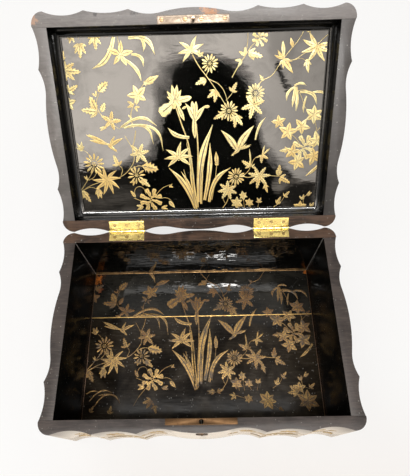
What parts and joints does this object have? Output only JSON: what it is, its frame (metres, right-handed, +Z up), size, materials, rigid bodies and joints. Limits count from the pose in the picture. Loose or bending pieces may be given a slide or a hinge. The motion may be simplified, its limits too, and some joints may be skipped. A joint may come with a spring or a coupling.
{
  "type": "lacquered box",
  "caption": "Serpentine black lacquer box with scalloped sides, hinged lid, inset brass butt hinges, a stud lock in the front wall and gold plant and bird decoration.",
  "frame": {"origin": "middle of the box's underside", "axes": "+X to the right seen from the front, +Y towards the hinges at the back, +Z up"},
  "size_m": [0.304, 0.3757, 0.2425],
  "materials": {
    "black_lacquer": "black lacquer over wood, worn satin on the rims",
    "floor_lacquer": "gloss black lacquer with ochre gold decoration",
    "panel_lacquer": "high gloss black lacquer with pale gold decoration",
    "bright_brass": "bright rubbed brass",
    "pale_brass": "pale rubbed brass",
    "aged_brass": "dull brown brass",
    "iron": "dark oiled iron"
  },
  "bodies": {
    "box": {"front_wall": "black_lacquer", "back_wall": "black_lacquer", "left_wall": "black_lacquer", "right_wall": "black_lacquer", "floor_board_front": "floor_lacquer", "floor_board_back": "floor_lacquer", "left_hinge_box_leaf": "bright_brass", "right_hinge_box_leaf": "bright_brass", "left_hinge_pin": "bright_brass", "right_hinge_pin": "bright_brass", "hinge_box_screws": "bright_brass", "lock_plate": "aged_brass", "lock_screws": "aged_brass", "lock_case": "aged_brass", "lock_key_post": "iron", "bolt_guide_post": "iron", "bolt_spring": "iron", "keyhole_escutcheon": "aged_brass", "escutcheon_pins": "aged_brass"},
    "lid": {"lid_front_rail": "black_lacquer", "lid_back_rail": "black_lacquer", "lid_left_rail": "black_lacquer", "lid_right_rail": "black_lacquer", "lid_top_board": "black_lacquer", "lid_panel": "panel_lacquer", "lid_cove_moulding": "panel_lacquer", "left_hinge_lid_leaf": "bright_brass", "right_hinge_lid_leaf": "bright_brass", "hinge_lid_screws": "bright_brass", "strike_plate": "pale_brass", "strike_stud": "aged_brass", "strike_screws": "pale_brass"},
    "bolt": {"lock_bolt": "iron"}
  },
  "joints": [
    {"name": "lid_hinge", "type": "hinge", "parent": "box", "child": "lid", "pos_m": [0, 0.1041, 0.09315], "axis": [1, 0, 0], "range_deg": [0, 134]},
    {"name": "bolt_slide", "type": "slide", "parent": "box", "child": "bolt", "axis": [1, 0, 0], "range_m": [0, 0.006]}
  ]
}
